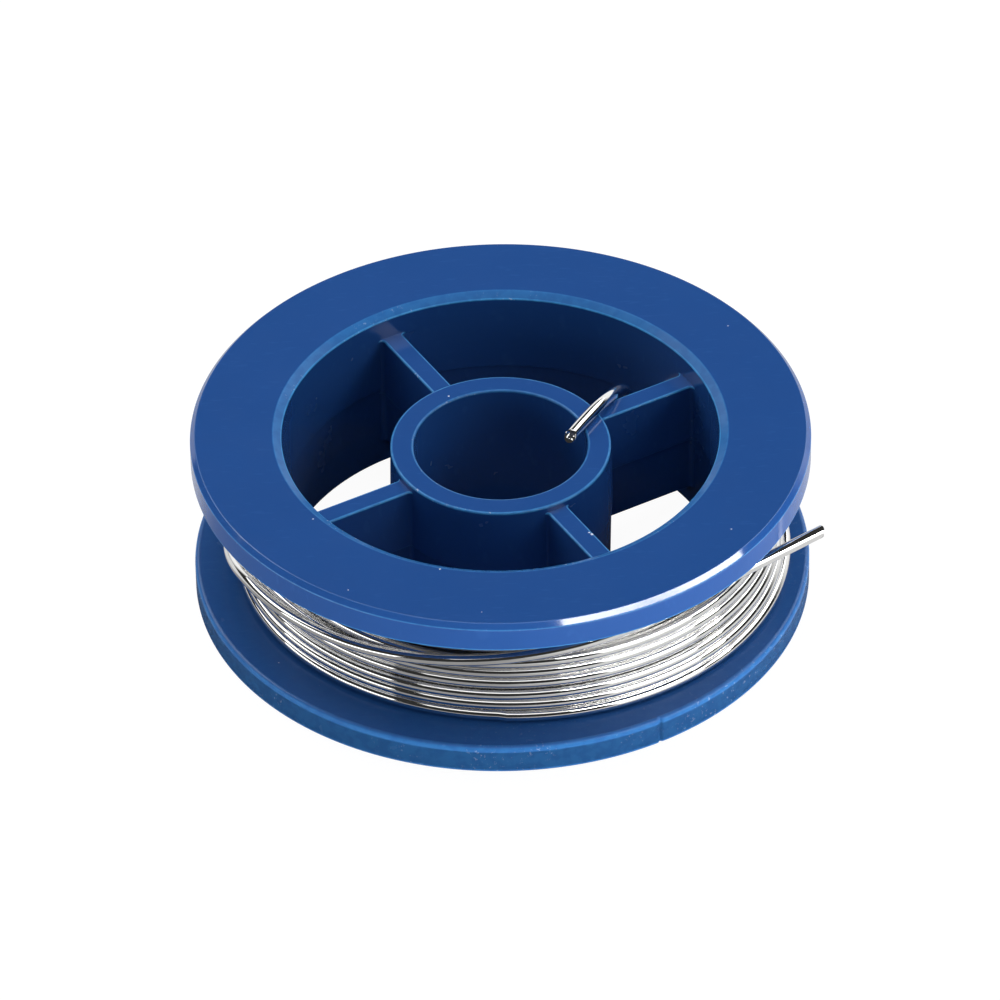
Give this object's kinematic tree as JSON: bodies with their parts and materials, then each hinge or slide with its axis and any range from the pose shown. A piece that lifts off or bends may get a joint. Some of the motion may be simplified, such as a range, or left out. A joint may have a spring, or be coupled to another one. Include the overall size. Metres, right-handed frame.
{
  "type": "solder wire spool",
  "caption": "Small blue moulded spool with a spoked hub, wound with silvery rosin-core solder wire whose start and free end show.",
  "frame": {"origin": "centre of the lower flange's flat face, on the axis of the hub's bore", "axes": "+Z along the bore from the lower flange to the upper one; +X towards the side where the free end of the wire reaches past the flanges; +Y towards the side away from the viewer of the usual view"},
  "size_m": [0.0407, 0.04, 0.012],
  "materials": {
    "blue_plastic": "semi-gloss moulded polystyrene, a little scuffed",
    "solder": "bright drawn tin alloy wire",
    "flux": "dull rosin at the cut ends of the wire"
  },
  "bodies": {
    "root": {"upper_flange": "blue_plastic", "lower_flange": "blue_plastic", "drum": "blue_plastic", "hub": "blue_plastic", "spoke_right": "blue_plastic", "spoke_back": "blue_plastic", "spoke_left": "blue_plastic", "spoke_front": "blue_plastic", "solder_inner_layers": "solder", "solder_outer_turns": "solder", "solder_free_end": "solder", "solder_start_tail": "solder", "flux_core_free_end": "flux", "flux_core_start_end": "flux"}
  },
  "joints": []
}
